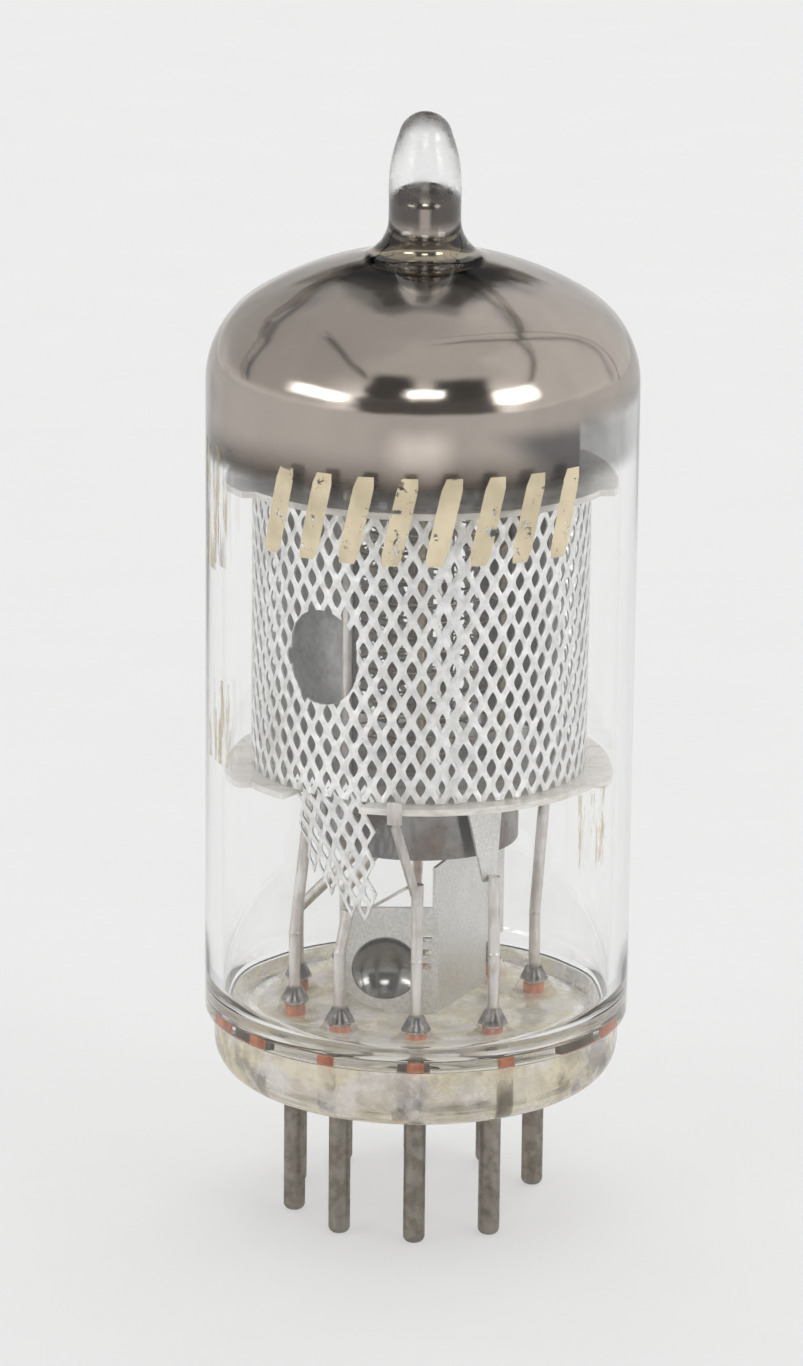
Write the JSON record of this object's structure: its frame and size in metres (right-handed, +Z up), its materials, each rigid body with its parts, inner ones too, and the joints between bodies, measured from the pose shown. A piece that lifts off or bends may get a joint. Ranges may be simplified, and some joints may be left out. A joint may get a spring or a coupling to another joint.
{
  "type": "vacuum tube",
  "caption": "Miniature glass vacuum tube with a domed bulb, silvered top, cylindrical mesh screen and a ring of thin contact pins in a glass button base.",
  "frame": {"origin": "on the tube's axis, level with the pin tips", "axes": "+Z up along the tube's axis to the exhaust tip; -Y is the front seen in the reference view; +X is the viewer's right; the empty place in the pin circle is 72 degrees from -Y towards +X"},
  "size_m": [0.0198, 0.0198, 0.0521],
  "materials": {
    "bulb_glass": "clear, glossy",
    "base_glass": "clear, faintly tinted, glossy",
    "pin_metal": "dull oxidised nickel plate",
    "dumet": "copper-clad wire seen red through glass",
    "nickel": "satin nickel",
    "getter_mirror": "dark mirror film",
    "getter_steel": "dark, fired",
    "mica": "cloudy mica sheet",
    "mesh_metal": "bright expanded metal",
    "screen_sheet": "satin sheet",
    "dark_sheet": "matt carbonised",
    "cathode_coat": "matt oxide coating",
    "grid_wire": "fine wire"
  },
  "bodies": {
    "root": {"glass_envelope": "bulb_glass", "exhaust_tip": "bulb_glass", "glass_base": "base_glass", "pin_1": "pin_metal", "pin_2": "pin_metal", "pin_3": "pin_metal", "pin_4": "pin_metal", "pin_5": "pin_metal", "pin_6": "pin_metal", "pin_7": "pin_metal", "pin_8": "pin_metal", "pin_9": "pin_metal", "seal_1": "dumet", "seal_2": "dumet", "seal_3": "dumet", "seal_4": "dumet", "seal_5": "dumet", "seal_6": "dumet", "seal_7": "dumet", "seal_8": "dumet", "seal_9": "dumet", "lead_1": "nickel", "lead_2": "nickel", "lead_3": "nickel", "lead_4": "nickel", "lead_5": "nickel", "lead_6": "nickel", "lead_7": "nickel", "lead_8": "nickel", "lead_9": "nickel", "getter_film": "getter_mirror", "getter_ring": "getter_steel", "getter_post": "nickel", "top_mica": "mica", "bottom_mica": "mica", "mesh_screen": "mesh_metal", "base_screen": "screen_sheet", "lower_shield": "dark_sheet", "anode_plate_1": "dark_sheet", "anode_plate_2": "dark_sheet", "anode_rod_1": "nickel", "anode_rod_2": "nickel", "cathode_sleeve": "cathode_coat", "heater": "cathode_coat", "grid_1": "grid_wire", "grid_2": "grid_wire", "grid_3": "grid_wire", "grid_3_ribbon": "nickel", "screen_strap": "nickel", "grid_1_tab": "screen_sheet"}
  },
  "joints": []
}
